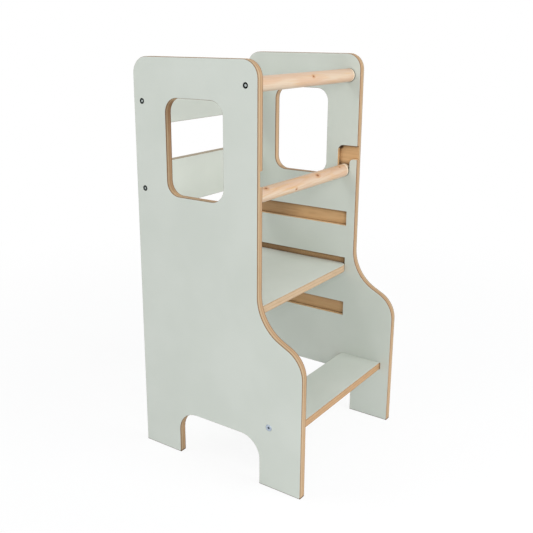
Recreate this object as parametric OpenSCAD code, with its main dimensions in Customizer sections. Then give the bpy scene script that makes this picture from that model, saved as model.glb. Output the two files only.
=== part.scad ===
// Kitchen helper stool for a toddler. Two shaped side panels carry a step, a platform that slides into one of
// three pairs of grooves, two back boards, a fixed top rail and a safety bar that lifts out of its slots.
// The floor is z = 0, the step side faces -Y, and the origin is on the floor under the middle of the stool.

/* [Overall] */
// Width over both side panels
stool_w = 424; // [360:4:500]
// Depth of the side panels at the floor
base_d = 422; // [410:2:480]
// Depth of the side panels above the step
top_d = 313; // [304:1:330]
// Height of the side panels
stool_h = 880; // [860:5:960]

/* [Board] */
// Thickness of every board
board_t = 18; // [16:1:22]
// Round-over along the edges of the boards
edge_r = 1.5; // [1:0.5:4]
// Thickness of the laminate on the faces of the boards
laminate_t = 0.8; // [0.5:0.1:1.2]
// Depth of the grooves, slots and housings cut into the inner faces
groove_depth = 9; // [7:0.5:10]

/* [Side panel] */
// Radius of the two top corners
top_corner_r = 35; // [15:1:60]
// Height at which the front edge starts to sweep forward
sweep_top_z = 422; // [390:1:460]
// Radius of the hollow upper part of the sweep
sweep_r = 100; // [60:1:110]
// Radius of the round lower part of the sweep
nose_r = 65; // [40:1:75]
// Turn of the front edge at the steepest part of the sweep, in degrees
sweep_angle = 63; // [50:1:64]
// Width of each leg
leg_w = 102; // [80:1:120]
// Height of the arch between the legs
arch_h = 106; // [80:1:110]
// Radius of the arch's two corners
arch_r = 48; // [20:1:60]

/* [Window] */
// Distance from the panel's rear edge to the window
window_back = 85; // [60:1:95]
// Distance from the panel's front edge to the window
window_front = 82; // [70:1:100]
// Height of the window
window_h = 201; // [150:1:220]
// Distance from the panel's top edge down to the window
window_drop = 80; // [70:1:120]
// Radius of the window's corners
window_r = 30; // [10:1:50]

/* [Platform] */
// Pair of grooves that holds the platform
platform_level = "middle"; // [lowest, middle, highest]
// Height of the lowest groove's lower face
lowest_groove_z = 250; // [220:1:260]
// Distance from the top edge of the panels down to the highest groove's lower face
highest_groove_drop = 401; // [395:1:460]
// Height of each groove
groove_h = 35; // [28:1:40]
// Distance from the panel's front edge to the closed ends of the grooves
groove_set = 22; // [15:1:40]
// Radius of the platform's corners
platform_corner_r = 20; // [12:1:30]
// Distance from the panel's rear edge to the platform's rear edge
platform_set = 8; // [0:1:60]

/* [Step] */
// Height of the top of the step
step_top_z = 149; // [135:1:200]
// Depth of the step
step_d = 107; // [90:1:130]
// Distance from the panel's front edge to the front of the step
step_set = 25; // [15:1:40]

/* [Back boards] */
// Height of each back board
back_board_h = 102; // [90:1:120]
// Distance from the top edge of the panels down to the upper back board
back_board_drop = 39; // [25:1:60]
// Distance between the two back boards
back_board_gap = 81; // [60:1:100]
// Distance from the panel's rear edge to the back boards
back_board_set = 13; // [5:1:25]

/* [Rail and bar] */
// Diameter of the top rail and of the safety bar
rod_d = 30; // [25:1:34]
// Distance from the top edge of the panels down to the rail's axis
rail_drop = 48; // [40:1:70]
// Distance from the panel's front edge to the rail's axis
rail_set = 28; // [22:1:40]
// Room in the slots for the safety bar, over its diameter
slot_play = 2; // [1:0.5:4]
// Distance from the top edge of the panels down to the top of the slot
slot_drop = 208; // [190:1:230]
// Distance from the panel's front edge to the bar's axis
bar_set = 35; // [30:1:45]
// Height that the bar rises in the slot before it can be drawn forward
bar_rise = 43; // [40:1:60]
// Radius of the slot's rear upper corner
slot_corner_r = 14; // [6:1:16]
// Radius of the corner that the bar passes on its way out
slot_nose_r = 9; // [3:1:10]

/* [Fasteners] */
// Head diameter of the bolts in the back boards and the rail
bolt_head_d = 12; // [10:0.5:15]
// Head diameter of the bolts in the step
step_bolt_head_d = 15; // [10:0.5:16]
// Shank diameter of the bolts
bolt_d = 7; // [5:0.5:8]
// Length of the bolts under the head
bolt_l = 48; // [38:1:60]
// Diameter of the wooden pins
pin_d = 8; // [6:1:10]
// Length of the wooden pins
pin_l = 30; // [20:1:40]
// Distance from the bolt to the pin on each side of it
pin_offset = 32; // [20:1:36]

/* [Hidden] */

// Colours of the bare board, the laminate, the pine rods, the pins and the two sorts of bolt
board_colour = [0.77, 0.63, 0.47];
laminate_colour = [0.79, 0.81, 0.77];
pine_colour = [0.90, 0.79, 0.66];
pin_colour = [0.83, 0.72, 0.55];
black_colour = [0.16, 0.17, 0.16];
steel_colour = [0.76, 0.78, 0.80];

// Levels of groove, and the flat strip left between the round-over and the laminate
levels = ["lowest", "middle", "highest"];
laminate_strip = 0.3;
// Clearances: round fixed parts, under and at the ends of parts that move, and in front of the step
fixed_gap = 0.1;
moving_gap = 0.3;
end_gap = 0.5;
rail_hole_gap = 0.5;
step_front_gap = 2;
// Overrun of every cut
overrun = 5;
// Bolt head, its hexagon socket, and the room past the tips of bolts and pins
head_t = 3;
head_bevel = 0.6;
socket_d = 5.8;
socket_depth = 2.2;
tip_l = 3;
tip_gap = 2;
socket_sides = 6;
// Part of a pin that sits in the side panel, and the chamfer of rods and pins
pin_panel_l = 11;
rod_chamfer = 1.5;
pin_chamfer = 0.8;
// Largest part of the sweep's reach that its two arcs may take up
sweep_arc_share = 0.98;
// Steps in a round corner, in the sweep and in a round-over
corner_steps = 8;
sweep_steps = 12;
edge_steps = 4;
round_fn = 64;

// Places worked out from the sizes above
x_outer = -stool_w / 2;
x_inner = x_outer + board_t;
inner_w = stool_w - 2 * board_t;
laminate_inset = edge_r + laminate_strip;
front_leg = base_d - leg_w;
groove_end = top_d - groove_set;
window_w = top_d - window_back - window_front;
groove_pitch = (stool_h - highest_groove_drop - lowest_groove_z) / (len(levels) - 1);
platform_z = groove_z(search([platform_level], levels)[0]) + moving_gap;
platform_tongue = groove_depth - end_gap;
platform_l = inner_w + 2 * platform_tongue;
step_front = base_d - step_set;
step_l = inner_w + 2 * (groove_depth - fixed_gap);
step_z = step_top_z - board_t;
upper_board_z = stool_h - back_board_drop - back_board_h;
lower_board_z = upper_board_z - back_board_gap - back_board_h;
board_axis = back_board_set + board_t / 2;
rail_axis = top_d - rail_set;
rail_z = stool_h - rail_drop;
rail_l = inner_w + 2 * groove_depth;
slot_w = rod_d + slot_play;
slot_top_z = stool_h - slot_drop;
slot_axis = top_d - bar_set;
slot_low_z = slot_top_z - slot_w / 2 - bar_rise;
bar_z = slot_low_z - slot_play / 2 + moving_gap;
bar_l = inner_w + 2 * (groove_depth - end_gap);

// The platform's round corners pass the closed ends of the grooves by a clearance, so that its front edge
// stands a little in front of them.
corner_setback = platform_corner_r - sqrt(platform_corner_r ^ 2 - (platform_corner_r - platform_tongue) ^ 2);
platform_front = groove_end + corner_setback - end_gap;
platform_d = platform_front - platform_set;

// The sweep: a hollow arc and a round arc that meet on a straight stretch. The arcs shrink alike when the
// panel's lower part stands too little in front of its upper part for them.
sweep_reach = base_d - top_d;
sweep_fit = min(1, sweep_arc_share * sweep_reach / ((sweep_r + nose_r) * (1 - cos(sweep_angle))));
hollow_r = sweep_r * sweep_fit;
round_r = nose_r * sweep_fit;
straight_l = (sweep_reach - (hollow_r + round_r) * (1 - cos(sweep_angle))) / sin(sweep_angle);
nose_z = sweep_top_z - (hollow_r + round_r) * sin(sweep_angle) - straight_l * cos(sweep_angle);

// Height of the lower face of a groove, with the lowest groove as level zero
function groove_z(level) = lowest_groove_z + level * groove_pitch;

// Place on the Y axis of something that lies forward of the panels' rear edges
function y_of(forward) = base_d / 2 - forward;

// Points along an arc
function arc(centre, r, from, to, steps) =
    [for (k = [0:steps]) let (a = from + (to - from) * k / steps) centre + r * [cos(a), sin(a)]];

// A side panel is drawn flat, as [distance forward from its rear edge, height], with its inner face down.
// An edge is a function that gives its line, drawn in from the true edge into the board by inset.
panel_edge = function (inset) concat(
    [[inset, inset], [leg_w - inset, inset]],
    arc([leg_w + arch_r, arch_h - arch_r], arch_r + inset, 180, 90, corner_steps),
    arc([front_leg - arch_r, arch_h - arch_r], arch_r + inset, 90, 0, corner_steps),
    [[front_leg + inset, inset], [base_d - inset, inset]],
    arc([base_d - round_r, nose_z], round_r - inset, 0, sweep_angle, sweep_steps),
    arc([top_d + hollow_r, sweep_top_z], hollow_r + inset, 180 + sweep_angle, 180, sweep_steps),
    arc([top_d - top_corner_r, stool_h - top_corner_r], top_corner_r - inset, 0, 90, corner_steps),
    arc([top_corner_r, stool_h - top_corner_r], top_corner_r - inset, 90, 180, corner_steps)
);

// The window's line runs the other way round, because the board lies outside it
window_edge = function (inset)
    let (
        back = window_back + window_r,
        front = top_d - window_front - window_r,
        high = stool_h - window_drop - window_r,
        low = stool_h - window_drop - window_h + window_r,
        r = window_r + inset
    )
    concat(
        arc([back, low], r, 270, 180, corner_steps),
        arc([back, high], r, 180, 90, corner_steps),
        arc([front, high], r, 90, 0, corner_steps),
        arc([front, low], r, 360, 270, corner_steps)
    );

// The platform is drawn flat about the origin
platform_edge = function (inset)
    let (
        x = platform_l / 2 - platform_corner_r,
        y = platform_d / 2 - platform_corner_r,
        r = platform_corner_r - inset
    )
    concat(
        arc([x, y], r, 0, 90, corner_steps),
        arc([-x, y], r, 90, 180, corner_steps),
        arc([-x, -y], r, 180, 270, corner_steps),
        arc([x, -y], r, 270, 360, corner_steps)
    );

// Section of the rim under a round-over, as points [height over the face, inset from the edge]
rim_section = concat(
    [for (k = [0:edge_steps]) edge_r * [1 - cos(90 * k / edge_steps), 1 - sin(90 * k / edge_steps)]],
    [[edge_r, laminate_inset], [0, laminate_inset]]
);

// Rim along an edge, skinned over the loops that the points of its section follow
module rim(edge) {
    loops = [for (p = rim_section) [for (q = edge(p[1])) [q[0], q[1], p[0]]]];
    n = len(loops[0]);
    m = len(loops);
    polyhedron(
        points = [for (loop = loops) each loop],
        faces = [for (j = [0:m - 1]) for (i = [0:n - 1])
            let (next_j = (j + 1) % m, next_i = (i + 1) % n)
            [j * n + i, next_j * n + i, next_j * n + next_i, j * n + next_i]]
    );
}

// Flat shape of a board: its first edge goes round it, and the others go round openings in it
module board_shape(edges, inset) {
    difference() {
        polygon(edges[0](inset));
        for (edge = [for (i = [1:1:len(edges) - 1]) edges[i]])
            polygon(edge(inset));
    }
}

// Board on the plane z = 0 with rounded edges, and a shallow pocket for the laminate in each face
module routed_board(edges) {
    translate([0, 0, edge_r])
        linear_extrude(board_t - 2 * edge_r)
            board_shape(edges, 0);
    translate([0, 0, laminate_t])
        linear_extrude(board_t - 2 * laminate_t)
            board_shape(edges, edge_r + laminate_strip / 2);
    for (side = [0, 1])
        translate([0, 0, side * board_t])
            mirror([0, 0, side])
                for (edge = edges)
                    rim(edge);
}

// Cut into a board that lies on the plane z = 0, from its lower face up to a depth
module cut_from_below(depth) {
    translate([0, 0, -overrun])
        linear_extrude(depth + overrun)
            children();
}

// Round hole in a board that lies on the plane z = 0
module hole(place, d, from, to) {
    translate([place[0], place[1], from])
        cylinder(h = to - from, d = d, $fn = round_fn);
}

// Stands the left side panel up in its place
module panel_place() {
    translate([x_inner, y_of(0), 0])
        rotate([90, 0, -90])
            children();
}

// Slot for the safety bar: in from the front edge, then down to a round end
module bar_slot_shape() {
    rear = slot_axis - slot_w / 2;
    front = slot_axis + slot_w / 2;
    out = top_d + overrun;
    low = slot_top_z - slot_w;
    polygon(concat(
        [[out, slot_top_z]],
        arc([rear + slot_corner_r, slot_top_z - slot_corner_r], slot_corner_r, 90, 180, corner_steps),
        arc([slot_axis, slot_low_z], slot_w / 2, 180, 360, 2 * corner_steps),
        arc([front + slot_nose_r, low - slot_nose_r], slot_nose_r, 180, 90, corner_steps),
        [[out, low]]
    ));
}

// Everything that is cut into the inner face of a side panel, apart from the holes for bolts and pins
module inner_cuts_shape() {
    for (level = [0:len(levels) - 1])
        translate([-overrun, groove_z(level)])
            square([groove_end + overrun, groove_h]);
    bar_slot_shape();
    translate([step_front - step_d - fixed_gap, step_z - fixed_gap])
        square([step_d + fixed_gap + step_front_gap, board_t + 2 * fixed_gap]);
    translate([rail_axis, rail_z])
        circle(d = rod_d + 2 * rail_hole_gap, $fn = round_fn);
}

// Places of the bolts on a side panel, as [forward, height, head diameter]
back_bolts = [for (z = [upper_board_z, lower_board_z]) [board_axis, z + back_board_h / 2, bolt_head_d]];
rail_bolt = [rail_axis, rail_z, bolt_head_d];
step_bolt = [step_front - step_d / 2, step_z + board_t / 2, step_bolt_head_d];
panel_bolts = concat(back_bolts, [rail_bolt, step_bolt]);

// Places of the pins at the end of a back board whose lower edge is at z
function board_pins(z) = [for (side = [-1, 1]) [board_axis, z + back_board_h / 2 + side * pin_offset]];
panel_pins = concat(board_pins(upper_board_z), board_pins(lower_board_z));

// Bare board of the left side panel
module panel_core() {
    color(board_colour)
        panel_place()
            difference() {
                routed_board([panel_edge, window_edge]);
                cut_from_below(groove_depth)
                    inner_cuts_shape();
                for (bolt = panel_bolts) {
                    hole(bolt, bolt[2] + 2 * fixed_gap, board_t - head_t, board_t + overrun);
                    hole(bolt, bolt_d + 2 * fixed_gap, -overrun, board_t);
                }
                for (pin = panel_pins)
                    hole(pin, pin_d + 2 * fixed_gap, -overrun, pin_panel_l + tip_gap);
            }
}

module outer_laminate() {
    color(laminate_colour)
        panel_place()
            translate([0, 0, board_t - laminate_t])
                linear_extrude(laminate_t)
                    difference() {
                        board_shape([panel_edge, window_edge], laminate_inset);
                        for (bolt = panel_bolts)
                            translate([bolt[0], bolt[1]])
                                circle(d = bolt[2] + 2 * fixed_gap, $fn = round_fn);
                    }
}

module inner_laminate() {
    color(laminate_colour)
        panel_place()
            linear_extrude(laminate_t)
                difference() {
                    board_shape([panel_edge, window_edge], laminate_inset);
                    inner_cuts_shape();
                    for (bolt = back_bolts)
                        translate([bolt[0], bolt[1]])
                            circle(d = bolt_d + 2 * fixed_gap, $fn = round_fn);
                    for (pin = panel_pins)
                        translate([pin[0], pin[1]])
                            circle(d = pin_d + 2 * fixed_gap, $fn = round_fn);
                }
}

// The right side is the left one mirrored
module on_right() {
    mirror([1, 0, 0])
        children();
}

module both_sides() {
    children();
    on_right()
        children();
}

// Section of a board across its length, with rounded edges and a rebate on each face for the laminate
module board_section(depth) {
    w = depth / 2 - edge_r;
    h = board_t / 2 - edge_r;
    difference() {
        polygon(concat(
            arc([w, h], edge_r, 90, 0, edge_steps),
            arc([w, -h], edge_r, 0, -90, edge_steps),
            arc([-w, -h], edge_r, 270, 180, edge_steps),
            arc([-w, h], edge_r, 180, 90, edge_steps)
        ));
        for (side = [-1, 1])
            translate([0, side * board_t / 2])
                square([depth - 2 * laminate_inset, 2 * laminate_t], center = true);
    }
}

// Board across the stool, lying flat about the origin
module flat_board(length, depth) {
    rotate([90, 0, 90])
        linear_extrude(length, center = true)
            board_section(depth);
}

// Laminate on the upper face of a board that lies flat about the origin
module flat_laminate(length, depth) {
    translate([0, 0, board_t / 2 - laminate_t / 2])
        cube([length, depth - 2 * laminate_inset, laminate_t], center = true);
}

// Holes in the ends of a board or rod across the stool, from its left end at x_from and alike at the right
module end_holes(forward, z, d, x_from, depth) {
    both_sides()
        translate([x_from - overrun, y_of(forward), z])
            rotate([0, 90, 0])
                cylinder(h = depth + overrun, d = d, $fn = round_fn);
}

module step_place() {
    translate([0, y_of(step_front - step_d / 2), step_z + board_t / 2])
        children();
}

module step_core() {
    color(board_colour)
        difference() {
            step_place()
                flat_board(step_l, step_d);
            end_holes(step_bolt[0], step_bolt[1], bolt_d + 2 * fixed_gap, -step_l / 2,
                x_outer + head_t + bolt_l + tip_gap + step_l / 2);
        }
}

module step_top_laminate() {
    color(laminate_colour)
        step_place()
            flat_laminate(step_l, step_d);
}

module step_bottom_laminate() {
    color(laminate_colour)
        step_place()
            mirror([0, 0, 1])
                flat_laminate(step_l, step_d);
}

// Lays the platform in its grooves
module platform_place() {
    translate([0, y_of(platform_front - platform_d / 2), platform_z])
        children();
}

module platform_core() {
    color(board_colour)
        platform_place()
            routed_board([platform_edge]);
}

module platform_bottom_laminate() {
    color(laminate_colour)
        platform_place()
            linear_extrude(laminate_t)
                board_shape([platform_edge], laminate_inset);
}

module platform_top_laminate() {
    color(laminate_colour)
        translate([0, 0, board_t - laminate_t])
            platform_bottom_laminate();
}

// Turns a flat board up on edge as a back board whose lower edge is at z
module back_board_place(z) {
    translate([0, y_of(board_axis), z + back_board_h / 2])
        rotate([90, 0, 0])
            children();
}

module back_board_core(z) {
    color(board_colour)
        difference() {
            back_board_place(z)
                flat_board(inner_w, back_board_h);
            end_holes(board_axis, z + back_board_h / 2, bolt_d + 2 * fixed_gap, x_inner,
                head_t + bolt_l + tip_gap - board_t);
            for (pin = board_pins(z))
                end_holes(pin[0], pin[1], pin_d + 2 * fixed_gap, x_inner, pin_l - pin_panel_l + tip_gap);
        }
}

module back_board_front_laminate(z) {
    color(laminate_colour)
        back_board_place(z)
            flat_laminate(inner_w, back_board_h);
}

module back_board_rear_laminate(z) {
    color(laminate_colour)
        back_board_place(z)
            mirror([0, 0, 1])
                flat_laminate(inner_w, back_board_h);
}

// Round wooden rod across the stool with chamfered ends
module rod(length, d, chamfer) {
    rotate([0, 90, 0])
        union() {
            cylinder(h = length - 2 * chamfer, d = d, center = true, $fn = round_fn);
            for (side = [0, 1])
                mirror([0, 0, side])
                    translate([0, 0, length / 2 - chamfer])
                        cylinder(h = chamfer, d1 = d, d2 = d - 2 * chamfer, $fn = round_fn);
        }
}

module top_rail() {
    color(pine_colour)
        difference() {
            translate([0, y_of(rail_axis), rail_z])
                rod(rail_l, rod_d, rod_chamfer);
            end_holes(rail_axis, rail_z, bolt_d + 2 * fixed_gap, -rail_l / 2,
                x_outer + head_t + bolt_l + tip_gap + rail_l / 2);
        }
}

module safety_bar() {
    color(pine_colour)
        translate([0, y_of(slot_axis), bar_z])
            rod(bar_l, rod_d, rod_chamfer);
}

// Bolt with a flat head and a hexagon socket, its head flush with the outer face
module bolt(place) {
    translate([x_outer, y_of(place[0]), place[1]])
        rotate([0, 90, 0])
            difference() {
                union() {
                    cylinder(h = head_bevel, d1 = place[2] - 2 * head_bevel, d2 = place[2], $fn = round_fn);
                    translate([0, 0, head_bevel])
                        cylinder(h = head_t - head_bevel, d = place[2], $fn = round_fn);
                    cylinder(h = head_t + bolt_l - tip_l, d = bolt_d, $fn = round_fn);
                    translate([0, 0, head_t + bolt_l - tip_l])
                        cylinder(h = tip_l, d1 = bolt_d, d2 = bolt_d / 2, $fn = round_fn);
                }
                translate([0, 0, -overrun])
                    cylinder(h = socket_depth + overrun, d = socket_d, $fn = socket_sides);
            }
}

module bolts(place, colour) {
    color(colour)
        both_sides()
            bolt(place);
}

module pins(z) {
    color(pin_colour)
        both_sides()
            for (place = board_pins(z))
                translate([x_inner - pin_panel_l + pin_l / 2, y_of(place[0]), place[1]])
                    rod(pin_l, pin_d, pin_chamfer);
}

panel_core();  // left_panel_core
outer_laminate();  // left_outer_laminate
inner_laminate();  // left_inner_laminate
on_right() panel_core();  // right_panel_core
on_right() outer_laminate();  // right_outer_laminate
on_right() inner_laminate();  // right_inner_laminate
back_board_core(upper_board_z);  // upper_back_board_core
back_board_front_laminate(upper_board_z);  // upper_back_board_front_laminate
back_board_rear_laminate(upper_board_z);  // upper_back_board_rear_laminate
back_board_core(lower_board_z);  // lower_back_board_core
back_board_front_laminate(lower_board_z);  // lower_back_board_front_laminate
back_board_rear_laminate(lower_board_z);  // lower_back_board_rear_laminate
step_core();
step_top_laminate();
step_bottom_laminate();
platform_core();
platform_top_laminate();
platform_bottom_laminate();
top_rail();
safety_bar();
bolts(back_bolts[0], black_colour);  // upper_back_board_bolts
bolts(back_bolts[1], black_colour);  // lower_back_board_bolts
bolts(rail_bolt, black_colour);  // rail_bolts
bolts(step_bolt, steel_colour);  // step_bolts
pins(upper_board_z);  // upper_back_board_pins
pins(lower_board_z);  // lower_back_board_pins
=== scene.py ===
"""Looks of the toddler kitchen helper stool: finishes, floor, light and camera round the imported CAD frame."""
import math

import bpy
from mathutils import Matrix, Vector


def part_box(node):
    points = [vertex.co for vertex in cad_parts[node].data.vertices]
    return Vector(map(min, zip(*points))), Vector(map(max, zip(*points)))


# Camera, as solved from the photograph: angles in degrees, lengths in metres, pixels of a 533 x 533 frame
FRAME_PX = 533
FOCAL_PX = 754.73
CENTRE_PX = (248.1, 250.0)
CAMERA_AZIMUTH = -54.534
CAMERA_ELEVATION = 16.286
CAMERA_DISTANCE = 1.7144
# The point that the camera looks at: how far it lies along the picture's right, and its height
TARGET_RIGHT = -0.0576
TARGET_HEIGHT = 0.4509
# Width of the camera's sensor, in millimetres
SENSOR_WIDTH = 36.0

# Shading: edges over this angle stay sharp, points nearer than this distance count as one, and the weight of
# large faces in the normals that are shared
SHARP_ANGLE = math.radians(32)
WELD_DISTANCE = 0.00002
NORMAL_WEIGHT = 90

# Floor: half its width, its height, just under the feet, and its finish
FLOOR_HALF = 9.0
FLOOR_Z = -0.0004
FLOOR_COLOUR = (0.93, 0.94, 0.95)
FLOOR_ROUGHNESS = 0.9
FLOOR_SPECULAR = 0.1
# Share of plain white in what is seen of the floor, near the stool and far off, and where it fades
FLOOR_GLOW = (0.88, 1.0)
FLOOR_FADE = (0.6, 2.0)

# White all round: its tint and strength where it lights the object
SKY_TINT = (0.99, 0.998, 1.008, 1.0)
SKY_STRENGTH = 0.60
WHITE = (1.0, 1.0, 1.0, 1.0)

# Softboxes: place, width and power. All of them face the middle of the stool
LAMP_AIM = (0.0, 0.0, 0.45)
LAMPS = {
    "key": ((-2.1, -2.3, 1.5), 1.8, 28.0),
    "front": ((0.1, -1.7, 1.5), 0.9, 18.0),
    "rear": ((-1.0, 1.0, 2.2), 0.8, 11.0),
}

# The levels between which most of a noise lies
NOISE_RANGE = (0.3, 0.7)
OCCLUSION_SAMPLES = 8
# Numbers of the sockets that a mix node has for colours
MIX_FIRST = 6
MIX_SECOND = 7
MIX_RESULT = 2


def srgb(red, green, blue):
    """A colour given as 0 to 255 on screen, as linear red, green, blue and alpha."""
    linear = [((v / 255 + 0.055) / 1.055) ** 2.4 for v in (red, green, blue)]
    return (*linear, 1.0)


class Finish:
    """A material in the making: its node tree, its shader and the coordinates of the part."""

    def __init__(self, name, roughness=0.5, metallic=0.0, specular=0.5):
        self.material = bpy.data.materials.new(name)
        self.material.use_nodes = True
        self.tree = self.material.node_tree
        self.shader = self.tree.nodes["Principled BSDF"]
        self.set("Roughness", roughness)
        self.set("Metallic", metallic)
        self.set("Specular IOR Level", specular)
        coordinates = self.tree.nodes.new("ShaderNodeTexCoord")
        self.place = coordinates.outputs["Object"]
        self.normal = coordinates.outputs["Normal"]

    def set(self, socket, value):
        """Links a socket of the shader to value, or gives it value where that is a number or colour."""
        self.put(value, self.shader.inputs[socket])

    def put(self, value, socket):
        """Links value to socket, or writes it there where it is a number, a colour or a vector."""
        if isinstance(value, bpy.types.NodeSocket):
            self.tree.links.new(value, socket)
        elif isinstance(value, tuple) and socket.type == "RGBA" and len(value) == 3:
            socket.default_value = (*value, 1.0)
        else:
            socket.default_value = value

    def math(self, operation, *values):
        node = self.tree.nodes.new("ShaderNodeMath")
        node.operation = operation
        for value, socket in zip(values, node.inputs):
            self.put(value, socket)
        return node.outputs[0]

    def product(self, first, *others):
        """All the values given, multiplied."""
        for value in others:
            first = self.math("MULTIPLY", first, value)
        return first

    def vector(self, operation, *values):
        node = self.tree.nodes.new("ShaderNodeVectorMath")
        node.operation = operation
        for value, socket in zip(values, node.inputs):
            self.put(value, socket)
        return node.outputs["Value" if operation == "LENGTH" else "Vector"]

    def split(self, vector):
        node = self.tree.nodes.new("ShaderNodeSeparateXYZ")
        self.put(vector, node.inputs[0])
        return node.outputs

    def join(self, *values):
        node = self.tree.nodes.new("ShaderNodeCombineXYZ")
        for value, socket in zip(values, node.inputs):
            self.put(value, socket)
        return node.outputs[0]

    def step(self, value, low, high, out_low=0.0, out_high=1.0):
        """A smooth step of value from low to high, which may be the smaller of the two."""
        node = self.tree.nodes.new("ShaderNodeMapRange")
        node.interpolation_type = "SMOOTHSTEP"
        for part, socket in zip((value, low, high, out_low, out_high), node.inputs):
            self.put(part, socket)
        return node.outputs[0]

    def noise(self, vector, scale, detail, roughness):
        node = self.tree.nodes.new("ShaderNodeTexNoise")
        self.put(vector, node.inputs["Vector"])
        node.inputs["Scale"].default_value = scale
        node.inputs["Detail"].default_value = detail
        node.inputs["Roughness"].default_value = roughness
        node.inputs["Distortion"].default_value = 0.0
        return node.outputs[0]

    def streaks(self, stretch, detail, roughness):
        """Noise with as many cells per metre along x, y and z as stretch says."""
        return self.noise(self.vector("MULTIPLY", self.place, stretch), 1.0, detail, roughness)

    def mix(self, share, first, second, blend="MIX"):
        node = self.tree.nodes.new("ShaderNodeMix")
        node.data_type = "RGBA"
        node.blend_type = blend
        self.put(share, node.inputs[0])
        self.put(first, node.inputs[MIX_FIRST])
        self.put(second, node.inputs[MIX_SECOND])
        return node.outputs[MIX_RESULT]

    def shelter(self, reach, own_only=False, towards=None):
        """1 on open surfaces, and less within reach of an inner corner, or of one of this piece alone if
        own_only is true, looking square off the surface or in the direction towards."""
        node = self.tree.nodes.new("ShaderNodeAmbientOcclusion")
        node.samples = OCCLUSION_SAMPLES
        node.only_local = own_only
        node.inputs["Distance"].default_value = reach
        if towards is not None:
            self.put(towards, node.inputs["Normal"])
        return node.outputs["AO"]

    def bump(self, height, distance, strength):
        node = self.tree.nodes.new("ShaderNodeBump")
        self.put(height, node.inputs["Height"])
        node.inputs["Distance"].default_value = distance
        node.inputs["Strength"].default_value = strength
        self.set("Normal", node.outputs[0])


# Laminate: satin sage grey, with the faint cloudiness and fine texture of a pressed sheet
SAGE = srgb(203, 208, 200)
SAGE_LIGHT = srgb(207, 212, 204)
SAGE_DARK = srgb(198, 204, 195)
# Its noises: cells per metre, detail and roughness
CLOUDS = (5.0, 3.0, 0.55)
SMEARS = (22.0, 4.0, 0.6)
GRIT = (900.0, 2.0, 0.6)
CLOUD_RANGE = (0.35, 0.65)
EVEN_SHARE = 0.5
GRIT_SHARE = 0.10
LAMINATE_SPECULAR = 0.42
LAMINATE_ROUGHNESS = (0.40, 0.50)
# Height and strength of its relief
LAMINATE_RELIEF = (0.00003, 0.5)


def laminate_finish():
    look = Finish("sage_laminate", specular=LAMINATE_SPECULAR)
    clouds = look.noise(look.place, *CLOUDS)
    grit = look.noise(look.place, *GRIT)
    tone = look.mix(look.step(clouds, *CLOUD_RANGE), SAGE_DARK, SAGE_LIGHT)
    tone = look.mix(EVEN_SHARE, tone, SAGE)
    specks = look.product(look.step(grit, *NOISE_RANGE), GRIT_SHARE)
    look.set("Base Color", look.mix(specks, tone, SAGE_DARK))
    smears = look.noise(look.place, *SMEARS)
    look.set("Roughness", look.step(smears, *NOISE_RANGE, *LAMINATE_ROUGHNESS))
    look.bump(grit, *LAMINATE_RELIEF)
    return look.material


# Bare edges of the boards: two bands with a thin seam between them, and painted shade on the round-overs
BOARD_OUTER = srgb(181, 157, 126)
BOARD_INNER = srgb(176, 145, 112)
BOARD_STEP = srgb(188, 152, 114)
BOARD_PLATFORM = srgb(193, 168, 138)
BOARD_BACK = srgb(168, 157, 137)
# Painted shade on the round-overs
BOARD_ROUNDOVER_SHADE = srgb(112, 82, 52)
# Painted shade on the left window's cut
BOARD_CUT_SHADE = srgb(146, 112, 76)
BOARD_LAYER = srgb(160, 124, 86)
BOARD_SEAM = srgb(146, 107, 68)
BOARD_MILLED = srgb(212, 172, 126)
BOARD_MILLED_DARK = srgb(190, 149, 104)
BOARD_WALL = srgb(208, 172, 126)
# Painted light on walls that face upwards
BOARD_WALL_LIT = srgb(238, 206, 160)
# Paler tone of the lower front edges, and painted light on the right window's cut
BOARD_PALE = srgb(218, 184, 146)
# Painted shade in corners, recesses and along the feet, with some router burn
BOARD_SHADE_AND_BURN = srgb(70, 48, 30)
BOARD_SPECULAR = 0.25
BOARD_ROUGHNESS = (0.58, 0.72)
# Height and strength of the relief
BOARD_RELIEF = (0.00010, 0.6)
# Strength of the seam and of the painted shade on the round-overs, on the panels and on the other boards
PANEL_LINES = 0.85
BOARD_LINES = 0.3
# Thickness of the layers of fibre. Noises of the layers and the fibres: cells per metre in the board's plane,
# cells in a layer's thickness, detail and roughness
LAYER_PITCH = 0.0022
LAYERS = (26.0, 1.0, 2.0, 0.5)
FIBRES = (90.0, 1.4, 4.0, 0.65)
LAYER_RANGE = (0.48, 0.70)
LAYER_SHARE = 0.30
FIBRE_RANGE = (0.5, 0.75)
FIBRE_SHARE = 0.22
# Places across an edge, as shares of half its thickness: where the bands meet, the seam, the part of the
# round-overs with painted shade, and where the floor of a groove ends
BANDS_MEET = 0.10
SEAM_BAND = (0.12, 0.02)
ROUNDED_BAND = (0.66, 0.76)
FLOOR_BAND = (0.80, 0.72)
# How squarely a surface faces as the board's faces do: where the laminate's tone begins, and on the floors
LAMINATE_FACING = (0.78, 0.90)
FLOOR_FACING = (0.80, 0.95)
# How far a wall or a floor sees its surroundings, and the levels of shelter that mark a recess and the painted
# shade in corners
SHELTER_REACH = 0.018
RECESS_LEVELS = (0.96, 0.80)
SHADE_IN_CORNERS_LEVELS = (0.78, 0.36)
SHADE_IN_CORNERS_SHARE = 0.85
# How far upwards a wall faces when it gets painted light, which makes it paler
LIT_WALL_FACING = (0.4, 0.8)
# Direction in which the painted shade under a groove's upper wall spreads, its levels and its share
SHADE_ABOVE_LEAN = (0.0, 0.0, 1.0)
SHADE_ABOVE_LEVELS = (0.62, 0.30)
SHADE_ABOVE_SHARE = 0.50
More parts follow.
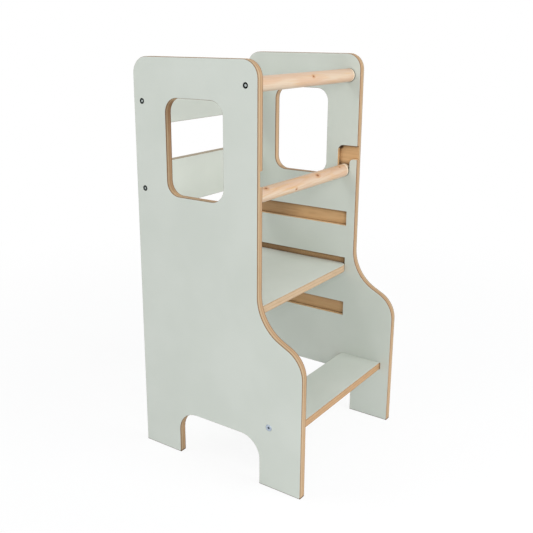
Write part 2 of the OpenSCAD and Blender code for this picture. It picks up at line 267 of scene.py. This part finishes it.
# Floors of the grooves: the cutter's streaks and the blotches, as cells per metre, detail and roughness
MILLING = ((300.0, 9.0, 260.0), 3.0, 0.6)
BLOTCHES = (34.0, 3.0, 0.6)
MILLING_RANGE = (0.35, 0.7)
MILLING_SHARE = 0.7
BLOTCH_RANGE = (0.4, 0.7)
BLOTCH_SHARE = 0.5
# Where the floors get painted shade: a painted shadow from one y to another towards the rear, and painted shade
# under the platform from one height downwards to another
DARK_TO_REAR = (0.030, 0.115)
REAR_SHARE = 0.40
DARK_DOWNWARDS = (0.400, 0.330)
LOW_SHARE = 0.18
# Surfaces of the panels that face the front, and the y from which they belong to the front edges
FRONT_FACING = (0.45, 0.85)
FRONT_EDGES = (-0.05, -0.10)
# The front edges are paler low down: from one height downwards to another, and the share
PALE_DOWNWARDS = (0.300, 0.120)
PALE_SHARE = 0.28
# The windows' cuts where they face the front: lowest and highest y and z, and how softly that zone ends
CUT_Y = (-0.022, 0.128)
CUT_Z = (0.596, 0.803)
CUT_FADE = 0.002
# Between these x a mark goes over from the right panel to the left one
LEFT_PANEL = (0.001, -0.001)
# The right window's cut gets painted light, but for its rims, which lie beyond these shares of half the
# thickness
CUT_LIGHT_SHARE = 0.62
CUT_LIGHT_RIMS = (0.56, 0.46)
# The left window's cut gets painted shade, less at the panel's outer face, and more from one height upwards to
# another
CUT_SHADE_OUTSIDE = 0.55
CUT_SHADE_UPWARDS = (0.700, 0.780)
CUT_SHADE_SHARES = (0.30, 0.72)
# Painted shade with some router burn in the upper corner of the slots: y and z of the middle of the mark, and
# how far it and its core reach
SHADED_BURNT_CORNER = (-0.0551, 0.6679)
CORNER_REACH = 0.0078
CORNER_CORE = CORNER_REACH * 0.45
CORNER_SHARE = 0.90
# A painted contact shadow along the bottom of the feet: its height, where it is at full strength, and its share
FOOT_LINE = 0.0032
FOOT_CORE = FOOT_LINE * 0.7
FOOT_SHARE = 0.80


class Board(Finish):
    """Finish of a board that is thickness thick along the axis numbered axis, with its middle at middle."""

    def __init__(self, name, axis, middle, thickness):
        super().__init__(name, specular=BOARD_SPECULAR)
        self.x, self.y, self.z = self.split(self.place)
        self.facing = self.split(self.normal)
        self.axis = axis
        self.middle = middle
        self.half = thickness / 2
        self.depth = (self.x, self.y, self.z)[axis]
        # Both side panels share a finish, so that a panel's depth counts from the stool's middle either way
        if axis == 0:
            self.depth = self.math("ABSOLUTE", self.depth)
        self.off_middle = self.math("ABSOLUTE", self.math("SUBTRACT", self.depth, middle))
        self.flat = self.math("ABSOLUTE", self.facing[axis])
        self.fibres = self.grain(*FIBRES)

    def grain(self, along, in_layer, detail, roughness):
        """Noise with along cells per metre in the board's plane, and in_layer cells in a layer's depth."""
        stretch = [along, along, along]
        stretch[self.axis] = in_layer / LAYER_PITCH
        return self.streaks(tuple(stretch), detail, roughness)

    def band(self, ends, *shares):
        """A smooth step across the edge, between two shares of half the thickness off its middle."""
        return self.step(self.off_middle, self.half * ends[0], self.half * ends[1], *shares)

    def within(self, value, ends):
        """1 where value lies between ends, with a soft limit at either."""
        low, high = ends
        return self.product(
            self.step(value, low - CUT_FADE, low + CUT_FADE),
            self.step(value, high + CUT_FADE, high - CUT_FADE),
        )

    def edge(self, outer, inner, lines):
        """The edge has the tones outer and inner beyond and before the middle, and its seam and the painted
        shade on its round-overs at the strength lines.
        """
        meet = self.half * BANDS_MEET
        before = self.step(self.depth, self.middle + meet, self.middle - meet)
        layers = self.grain(*LAYERS)
        tone = self.mix(before, outer, inner)
        tone = self.mix(self.step(layers, *LAYER_RANGE, 0.0, LAYER_SHARE), tone, BOARD_LAYER)
        tone = self.mix(self.step(self.fibres, *FIBRE_RANGE, 0.0, FIBRE_SHARE), tone, BOARD_LAYER)
        tone = self.mix(self.band(SEAM_BAND, 0.0, lines), tone, BOARD_SEAM)
        # The round-overs get painted shade where they leave the edge, and are sage where they meet the laminate
        rounded = self.band(ROUNDED_BAND)
        tone = self.mix(self.product(rounded, lines), tone, BOARD_ROUNDOVER_SHADE)
        return self.mix(self.product(rounded, self.step(self.flat, *LAMINATE_FACING)), tone, SAGE)

    def with_walls(self, edge):
        """The edge's colour with the walls of the grooves and slots, which are cut clean, and painted light on
        the walls that face upwards.
        """
        recessed = self.step(self.shelter(SHELTER_REACH, own_only=True), *RECESS_LEVELS)
        # Walls that face upwards get painted light
        wall = self.mix(self.step(self.facing[2], *LIT_WALL_FACING), BOARD_WALL, BOARD_WALL_LIT)
        return self.mix(recessed, edge, wall)

    def groove_floor(self):
        """Floors of the grooves and slots: streaky along the cutter's way, with painted shade in the corners,
        under the upper walls, towards the rear and low down.
        """
        milling = self.step(self.streaks(*MILLING), *MILLING_RANGE, 0.0, MILLING_SHARE)
        blotches = self.step(self.noise(self.place, *BLOTCHES), *BLOTCH_RANGE, 0.0, BLOTCH_SHARE)
        tone = self.mix(milling, BOARD_MILLED, BOARD_MILLED_DARK)
        tone = self.mix(blotches, tone, BOARD_MILLED)
        # Painted shade in the corners and between parts, with some router burn
        shade_in_corners = self.step(self.shelter(SHELTER_REACH), *SHADE_IN_CORNERS_LEVELS, 0.0, SHADE_IN_CORNERS_SHARE)
        tone = self.mix(shade_in_corners, tone, BOARD_SHADE_AND_BURN)
        # Painted shade under the upper walls, where the occlusion looks upwards
        leaning = self.vector("NORMALIZE", self.vector("ADD", self.normal, SHADE_ABOVE_LEAN))
        shelter = self.shelter(SHELTER_REACH, own_only=True, towards=leaning)
        tone = self.mix(self.step(shelter, *SHADE_ABOVE_LEVELS, 0.0, SHADE_ABOVE_SHARE), tone, BOARD_SHADE_AND_BURN)
        # Painted shadow towards the rear, and painted shade low down under the platform
        rear = self.step(self.y, *DARK_TO_REAR, 0.0, REAR_SHARE)
        low = self.step(self.z, *DARK_DOWNWARDS, 0.0, LOW_SHARE)
        return self.mix(self.math("MAXIMUM", rear, low), tone, BOARD_SHADE_AND_BURN)

    def panel_marks(self, colour):
        """The side panels' own marks: pale front edges, painted light and shade on the windows' cuts, painted
        shade with some burn in the slots' corner, and a painted contact shadow along the feet.
        """
        to_front = self.step(self.math("MULTIPLY", self.facing[1], -1.0), *FRONT_FACING)
        foremost = self.step(self.y, *FRONT_EDGES)
        pale = self.step(self.z, *PALE_DOWNWARDS, 0.0, PALE_SHARE)
        colour = self.mix(self.product(to_front, foremost, pale), colour, BOARD_PALE)

        # Painted light on the right window's cut, but for its rims
        cut = self.product(to_front, self.within(self.y, CUT_Y), self.within(self.z, CUT_Z))
        left = self.step(self.x, *LEFT_PANEL)
        right_share = self.math("MULTIPLY_ADD", left, -CUT_LIGHT_SHARE, CUT_LIGHT_SHARE)
        colour = self.mix(self.product(cut, right_share, self.band(CUT_LIGHT_RIMS)), colour, BOARD_PALE)
        # Painted shade on the left window's cut
        inwards = self.step(
            self.depth, self.middle + self.half, self.middle - self.half, CUT_SHADE_OUTSIDE, 1.0)
        upwards = self.step(self.z, *CUT_SHADE_UPWARDS, *CUT_SHADE_SHARES)
        colour = self.mix(self.product(cut, left, inwards, upwards), colour, BOARD_CUT_SHADE, "MULTIPLY")

        # Painted shade, with some router burn, in the upper corner of the slots
        from_corner = self.vector("LENGTH", self.join(
            0.0,
            self.math("SUBTRACT", self.y, SHADED_BURNT_CORNER[0]),
            self.math("SUBTRACT", self.z, SHADED_BURNT_CORNER[1]),
        ))
        mark = self.step(from_corner, CORNER_REACH, CORNER_CORE, 0.0, CORNER_SHARE)
        colour = self.mix(mark, colour, BOARD_SHADE_AND_BURN)
        # Painted contact shadow along the bottom of the feet
        foot = self.step(self.z, FOOT_LINE, FOOT_CORE, 0.0, FOOT_SHARE)
        return self.mix(foot, colour, BOARD_SHADE_AND_BURN)


def board_finish(name, axis, middle, thickness, outer, inner, is_panel=False):
    """Finish of a board's core; outer and inner are the tones of its edge beyond and before the middle."""
    look = Board(name, axis, middle, thickness)
    edge = look.with_walls(look.edge(outer, inner, PANEL_LINES if is_panel else BOARD_LINES))
    floor = look.groove_floor()
    on_floor = look.product(look.step(look.flat, *FLOOR_FACING), look.band(FLOOR_BAND))
    colour = look.mix(on_floor, edge, floor)
    if is_panel:
        colour = look.panel_marks(colour)
    look.set("Base Color", colour)
    look.set("Roughness", look.step(look.fibres, *NOISE_RANGE, *BOARD_ROUGHNESS))
    look.bump(look.fibres, *BOARD_RELIEF)
    return look.material


# Pine rods: growth rings cut along their length, fine grain and a few small knots
PINE_LIGHT = srgb(205, 187, 165)
PINE_WARM = srgb(201, 171, 145)
# Painted shade on the rod's upper half
PINE_TOP_SHADE = srgb(194, 164, 140)
PINE_LINE = srgb(186, 145, 105)
PINE_GOLD = srgb(204, 162, 106)
# Painted highlight at the rod's ends
PINE_END_HIGHLIGHT = srgb(234, 220, 196)
PINE_KNOT = srgb(136, 88, 54)
PINE_KNOT_RING = srgb(190, 138, 92)
PINE_SHADE = srgb(48, 34, 24)
PINE_SPECULAR = 0.25
PINE_ROUGHNESS = (0.42, 0.55)
# Height and strength of the relief, and the rings' share in it beside the grain
PINE_RELIEF = (0.00006, 0.5)
RING_RELIEF = 0.6
# Noises: cells per metre along the rod and across it, detail and roughness
WANDER = ((3.0, 30.0, 30.0), 3.0, 0.5)
GRAIN = ((24.0, 900.0, 900.0), 3.0, 0.7)
PORES = ((60.0, 2200.0, 2200.0), 2.0, 0.6)
DRIFT = ((7.0, 60.0, 60.0), 2.0, 0.5)
RESIN = ((11.0, 170.0, 170.0), 3.0, 0.6)
# The levels of the noises between which their tones come in, and the share of those tones
DRIFT_RANGE = (0.35, 0.65)
RESIN_RANGE = (0.52, 0.72)
RESIN_PER_RINGS = 2.0
GRAIN_RANGE = (0.48, 0.75)
GRAIN_SHARE = 0.26
PORE_RANGE = (0.55, 0.8)
PORE_SHARE = 0.18
# Share of the painted shade on the rod's upper half
TOP_SHADE_SHARE = 0.7
# Growth rings: their spacing, how far they wander, and how far a knot pushes them aside
RING_PITCH = 0.0042
RING_WANDER = 0.0065
KNOT_PUSH = 0.0045
LATE_WOOD = (0.45, 0.92)
RING_END = (1.0, 0.92)
# A knot is a little longer along the rod than across it
KNOT_STRETCH = (0.62, 1.0, 1.0)
# Reach of a knot's heart, of the ring round it and of its push, in radii of the knot
KNOT_HEART = (1.05, 0.55)
KNOT_RING = (2.4, 1.1)
KNOT_REACH = 4.5
KNOT_RING_SHARE = 0.65
# The painted highlight at the ends of a rod, measured inwards from the panel, and the painted shade at the
# joint where it enters
END_HIGHLIGHT_BAND = (0.008, 0.004)
END_HIGHLIGHT_SHARE = 0.9
JOINT_REACH = 0.005
JOINT_LEVELS = (0.92, 0.70)
JOINT_SHARE = 0.95


def pine_finish(name, rod, pith, rings, end_x, knots):
    """Finish of the rod that is the node rod, along X: pith (y, z, lean in y, lean in z) is where the tree's
    middle lies from the rod's axis, rings is the strength of the growth rings, end_x is where the rod enters
    the panels, and knots are (x, turn in degrees from the front upwards, radius)."""
    look = Finish(name, specular=PINE_SPECULAR)
    axis_y = middle_of(rod, 1)
    axis_z = middle_of(rod, 2)
    along, place_y, place_z = look.split(look.place)
    across_y = look.math("SUBTRACT", place_y, axis_y)
    across_z = look.math("SUBTRACT", place_z, axis_z)
    wander = look.streaks(*WANDER)
    pith_y = look.math("MULTIPLY_ADD", along, pith[2], pith[0])
    pith_z = look.math("MULTIPLY_ADD", along, pith[3], pith[1])
    from_pith = look.vector("LENGTH", look.join(
        look.math("SUBTRACT", across_y, pith_y),
        look.math("SUBTRACT", across_z, pith_z),
        0.0,
    ))
    knot_share = ring_share = push = 0.0
    for knot_x, turn, size in knots:
        angle = math.radians(turn)
        centre = (
            knot_x,
            axis_y - rod_radius * math.cos(angle),
            axis_z + rod_radius * math.sin(angle),
        )
        away = look.vector("SUBTRACT", look.place, centre)
        reach = look.vector("LENGTH", look.vector("MULTIPLY", away, KNOT_STRETCH))
        heart = look.step(reach, *(size * share for share in KNOT_HEART))
        ring = look.step(reach, *(size * share for share in KNOT_RING))
        near = look.step(reach, size * KNOT_REACH, 0.0)
        knot_share = look.math("MAXIMUM", heart, knot_share)
        ring_share = look.math("MAXIMUM", ring, ring_share)
        push = look.math("MAXIMUM", near, push)
    bent = look.math("MULTIPLY_ADD", push, KNOT_PUSH, from_pith)
    bent = look.math("MULTIPLY_ADD", wander, RING_WANDER, bent)
    phase = look.math("FRACT", look.math("DIVIDE", bent, RING_PITCH))
    # Early wood is pale; late wood darkens slowly and ends in a sharp line
    band = look.product(look.step(phase, *LATE_WOOD), look.step(phase, *RING_END))
    grain = look.streaks(*GRAIN)
    pores = look.streaks(*PORES)
    drift = look.streaks(*DRIFT)
    resin = look.streaks(*RESIN)
    colour = look.mix(look.step(drift, *DRIFT_RANGE), PINE_LIGHT, PINE_WARM)
    # Painted shade on the upper half of the rod
    colour = look.mix(look.step(across_z, 0.0, rod_radius, 0.0, TOP_SHADE_SHARE), colour, PINE_TOP_SHADE)
    colour = look.mix(look.step(resin, *RESIN_RANGE, 0.0, rings * RESIN_PER_RINGS), colour, PINE_GOLD)
    colour = look.mix(look.product(band, rings), colour, PINE_LINE)
    colour = look.mix(look.step(grain, *GRAIN_RANGE, 0.0, GRAIN_SHARE), colour, PINE_LINE)
    colour = look.mix(look.step(pores, *PORE_RANGE, 0.0, PORE_SHARE), colour, PINE_LINE)
    # Painted highlight at the ends of the rod
    ends = look.step(look.math("ABSOLUTE", along), end_x - END_HIGHLIGHT_BAND[0], end_x - END_HIGHLIGHT_BAND[1])
    colour = look.mix(look.product(ends, END_HIGHLIGHT_SHARE), colour, PINE_END_HIGHLIGHT)
    colour = look.mix(look.product(ring_share, KNOT_RING_SHARE), colour, PINE_KNOT_RING)
    colour = look.mix(knot_share, colour, PINE_KNOT)
    # Painted shade where the rod enters the panel
    joint_shade = look.step(look.shelter(JOINT_REACH), *JOINT_LEVELS, 0.0, JOINT_SHARE)
    colour = look.mix(joint_shade, colour, PINE_SHADE)
    look.set("Base Color", colour)
    look.set("Roughness", look.step(grain, *NOISE_RANGE, *PINE_ROUGHNESS))
    look.bump(look.math("ADD", grain, look.product(band, RING_RELIEF)), *PINE_RELIEF)
    return look.material


# Beech pins: short dark flecks along the grain
BEECH = srgb(214, 182, 140)
BEECH_FLECK = srgb(170, 130, 88)
FLECKS = ((120.0, 1400.0, 1400.0), 2.0, 0.6)
FLECK_RANGE = (0.5, 0.75)
PIN_SPECULAR = 0.35
PIN_ROUGHNESS = (0.5, 0.65)
PIN_RELIEF = (0.00004, 0.5)


def pin_finish():
    look = Finish("beech_pin", specular=PIN_SPECULAR)
    flecks = look.streaks(*FLECKS)
    look.set("Base Color", look.mix(look.step(flecks, *FLECK_RANGE), BEECH, BEECH_FLECK))
    look.set("Roughness", look.step(flecks, *NOISE_RANGE, *PIN_ROUGHNESS))
    look.bump(flecks, *PIN_RELIEF)
    return look.material


# Bolts: tones of the head, of its worn parts and of the bottom of its socket, which is a painted highlight in
# the black bolts and painted shade in the zinc ones
BLACK_TONES = (srgb(36, 40, 39), srgb(58, 62, 60), srgb(226, 232, 230))
ZINC_TONES = (srgb(176, 188, 202), srgb(206, 214, 222), srgb(120, 128, 138))
WEAR = (380.0, 4.0, 0.65)
WEAR_RANGE = (0.45, 0.75)
SCRATCHES = ((900.0, 260.0, 900.0), 3.0, 0.7)
# Depths under the panel's face between which the head's tone gives way to the socket's
SOCKET_DEPTH = (0.0008, 0.0017)
BOLT_ROUGHNESS = (0.28, 0.44)
BOLT_RELIEF = (0.00002, 0.4)


def bolt_finish(name, head, worn, socket, face_x):
    """Plated bolt, with its head in the panel's face at face_x."""
    look = Finish(name, metallic=1.0)
    wear = look.noise(look.place, *WEAR)
    scratches = look.streaks(*SCRATCHES)
    tone = look.mix(look.step(wear, *WEAR_RANGE), head, worn)
    depth = look.math("SUBTRACT", face_x, look.math("ABSOLUTE", look.split(look.place)[0]))
    # The bottom of the socket: a painted highlight in the black bolts, painted shade in the zinc ones
    tone = look.mix(look.step(depth, *SOCKET_DEPTH), tone, socket)
    look.set("Base Color", tone)
    look.set("Roughness", look.step(scratches, *NOISE_RANGE, *BOLT_ROUGHNESS))
    look.bump(scratches, *BOLT_RELIEF)
    return look.material


def smooth_shading():
    """Geometry nodes that mark the edges over the sharp angle, so that only the others are shaded smooth."""
    group = bpy.data.node_groups.new("sharp_over_an_angle", "GeometryNodeTree")
    for way in ("INPUT", "OUTPUT"):
        group.interface.new_socket("Geometry", in_out=way, socket_type="NodeSocketGeometry")
    start = group.nodes.new("NodeGroupInput")
    end = group.nodes.new("NodeGroupOutput")
    angle = group.nodes.new("GeometryNodeInputMeshEdgeAngle")
    over = group.nodes.new("FunctionNodeCompare")
    over.operation = "GREATER_THAN"
    over.inputs[1].default_value = SHARP_ANGLE
    mark = group.nodes.new("GeometryNodeSetShadeSmooth")
    mark.domain = "EDGE"
    mark.inputs["Shade Smooth"].default_value = False
    group.links.new(angle.outputs["Unsigned Angle"], over.inputs[0])
    group.links.new(start.outputs[0], mark.inputs["Geometry"])
    group.links.new(over.outputs[0], mark.inputs["Selection"])
    group.links.new(mark.outputs[0], end.inputs[0])
    return group


def dress(node, material, group):
    """Gives a CAD node its finish and its shading, and leaves its points where they are."""
    node.data.materials.clear()
    node.data.materials.append(material)
    for face in node.data.polygons:
        face.use_smooth = True
        face.material_index = 0
    weld = node.modifiers.new("weld", "WELD")
    weld.merge_threshold = WELD_DISTANCE
    sharp = node.modifiers.new("sharp", "NODES")
    sharp.node_group = group
    normals = node.modifiers.new("normals", "WEIGHTED_NORMAL")
    normals.keep_sharp = True
    normals.weight = NORMAL_WEIGHT


def soft_lamp(name, place, size, power):
    """A square softbox at place that faces the middle of the stool."""
    lamp = bpy.data.lights.new(name, "AREA")
    lamp.shape = "SQUARE"
    lamp.size = size
    lamp.energy = power
    holder = bpy.data.objects.new(name, lamp)
    bpy.context.scene.collection.objects.link(holder)
    holder.location = place
    holder.rotation_euler = (Vector(LAMP_AIM) - Vector(place)).to_track_quat("-Z", "Y").to_euler()


def seen_directly(tree):
    """1 for the rays on which the white background shows: straight from the camera, in gloss and in glass."""
    path = tree.nodes.new("ShaderNodeLightPath")
    share = path.outputs["Is Camera Ray"]
    for name in ("Is Glossy Ray", "Is Transmission Ray"):
        either = tree.nodes.new("ShaderNodeMath")
        either.operation = "MAXIMUM"
        tree.links.new(share, either.inputs[0])
        tree.links.new(path.outputs[name], either.inputs[1])
        share = either.outputs[0]
    return share


def studio_world():
    """White all round, at full white where it is seen and at its own tint and strength where it lights."""
    world = bpy.data.worlds.new("studio")
    world.use_nodes = True
    tree = world.node_tree
    background = tree.nodes["Background"]
    seen = seen_directly(tree)
    colour = tree.nodes.new("ShaderNodeMix")
    colour.data_type = "RGBA"
    colour.inputs[MIX_FIRST].default_value = SKY_TINT
    colour.inputs[MIX_SECOND].default_value = WHITE
    tree.links.new(seen, colour.inputs[0])
    tree.links.new(colour.outputs[MIX_RESULT], background.inputs["Color"])
    level = tree.nodes.new("ShaderNodeMapRange")
    level.inputs["To Min"].default_value = SKY_STRENGTH
    tree.links.new(seen, level.inputs["Value"])
    tree.links.new(level.outputs[0], background.inputs["Strength"])
    bpy.context.scene.world = world


def studio_floor():
    """Pale floor that fades into the white background and keeps a soft shadow of the object."""
    mesh = bpy.data.meshes.new("studio_floor")
    corners = [(-1, -1), (1, -1), (1, 1), (-1, 1)]
    mesh.from_pydata([(x * FLOOR_HALF, y * FLOOR_HALF, FLOOR_Z) for x, y in corners], [], [(0, 1, 2, 3)])
    floor = bpy.data.objects.new("studio_floor", mesh)
    bpy.context.scene.collection.objects.link(floor)
    look = Finish("studio_floor", roughness=FLOOR_ROUGHNESS, specular=FLOOR_SPECULAR)
    look.set("Base Color", FLOOR_COLOUR)
    tree = look.tree
    glow = tree.nodes.new("ShaderNodeEmission")
    away = look.vector("LENGTH", look.place)
    fade = look.step(away, *FLOOR_FADE, *FLOOR_GLOW)
    blend = tree.nodes.new("ShaderNodeMixShader")
    tree.links.new(look.product(seen_directly(tree), fade), blend.inputs["Fac"])
    tree.links.new(look.shader.outputs[0], blend.inputs[1])
    tree.links.new(glow.outputs[0], blend.inputs[2])
    tree.links.new(blend.outputs[0], tree.nodes["Material Output"].inputs["Surface"])
    mesh.materials.append(look.material)


def photo_camera():
    """Camera at the photograph's viewing angle, with the shift that its framing needs."""
    azimuth = math.radians(CAMERA_AZIMUTH)
    elevation = math.radians(CAMERA_ELEVATION)
    back = Vector((
        math.sin(azimuth) * math.cos(elevation),
        -math.cos(azimuth) * math.cos(elevation),
        math.sin(elevation),
    ))
    right = Vector((math.cos(azimuth), math.sin(azimuth), 0.0))
    data = bpy.data.cameras.new("photo_camera")
    data.sensor_width = SENSOR_WIDTH
    data.lens = FOCAL_PX / FRAME_PX * SENSOR_WIDTH
    data.shift_x = (FRAME_PX / 2 - CENTRE_PX[0]) / FRAME_PX
    data.shift_y = (CENTRE_PX[1] - FRAME_PX / 2) / FRAME_PX
    camera = bpy.data.objects.new("photo_camera", data)
    bpy.context.scene.collection.objects.link(camera)
    camera.location = right * TARGET_RIGHT + Vector((0.0, 0.0, TARGET_HEIGHT)) + back * CAMERA_DISTANCE
    camera.rotation_euler = (-back).to_track_quat("-Z", "Y").to_euler()
    bpy.context.scene.camera = camera


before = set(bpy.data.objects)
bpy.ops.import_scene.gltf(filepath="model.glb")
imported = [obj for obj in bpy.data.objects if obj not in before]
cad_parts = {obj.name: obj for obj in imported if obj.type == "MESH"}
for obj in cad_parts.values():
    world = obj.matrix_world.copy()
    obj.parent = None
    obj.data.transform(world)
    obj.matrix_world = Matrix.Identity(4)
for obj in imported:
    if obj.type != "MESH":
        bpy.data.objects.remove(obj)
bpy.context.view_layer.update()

scene = bpy.context.scene
scene.view_settings.view_transform = "Standard"

# Sizes taken from the frame
panel_low, panel_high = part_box("right_panel_core")
board_t = panel_high.x - panel_low.x
panel_middle = (panel_low.x + panel_high.x) / 2
rail_low, rail_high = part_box("top_rail")
rod_radius = (rail_high.z - rail_low.z) / 2


def middle_of(name, axis):
    """Where the middle of a node lies along the axis numbered axis."""
    low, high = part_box(name)
    return (low[axis] + high[axis]) / 2


laminate = laminate_finish()
pin = pin_finish()
black = bolt_finish("black_bolt", *BLACK_TONES, panel_high.x)
zinc = bolt_finish("zinc_bolt", *ZINC_TONES, panel_high.x)
panel_board = board_finish("panel_board", 0, panel_middle, board_t, BOARD_OUTER, BOARD_INNER, is_panel=True)

# For each rod: where the tree's middle lies from its axis, the strength of its growth rings, and its knots
RAIL_PITH = (0.004, -0.030, 0.02, -0.03)
RAIL_RINGS = 0.16
RAIL_KNOTS = [(0.0122, 25.0, 0.0024)]
BAR_PITH = (0.022, -0.024, -0.03, 0.02)
BAR_RINGS = 0.28
BAR_KNOTS = [
    (0.0560, 43.0, 0.0034),
    (0.1621, 60.0, 0.0018),
    (-0.1405, 64.0, 0.0030),
    (-0.0365, -20.0, 0.0020),
]

finishes = {}
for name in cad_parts:
    if name.endswith("_laminate"):
        finishes[name] = laminate
    elif name.endswith("panel_core"):
        finishes[name] = panel_board
    elif name.endswith("back_board_core"):
        finishes[name] = board_finish(name + "_board", 1, middle_of(name, 1), board_t, BOARD_BACK, BOARD_BACK)
    elif name in ("step_core", "platform_core"):
        tone = BOARD_STEP if name == "step_core" else BOARD_PLATFORM
        finishes[name] = board_finish(name + "_board", 2, middle_of(name, 2), board_t, tone, tone)
    elif name.endswith("_pins"):
        finishes[name] = pin
    elif name == "step_bolts":
        finishes[name] = zinc
    elif name.endswith("_bolts"):
        finishes[name] = black
finishes["top_rail"] = pine_finish("rail_pine", "top_rail", RAIL_PITH, RAIL_RINGS, panel_low.x, RAIL_KNOTS)
finishes["safety_bar"] = pine_finish("bar_pine", "safety_bar", BAR_PITH, BAR_RINGS, panel_low.x, BAR_KNOTS)

shading = smooth_shading()
for name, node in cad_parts.items():
    dress(node, finishes[name], shading)

studio_floor()
studio_world()
for name, (place, size, power) in LAMPS.items():
    soft_lamp(name, place, size, power)
photo_camera()
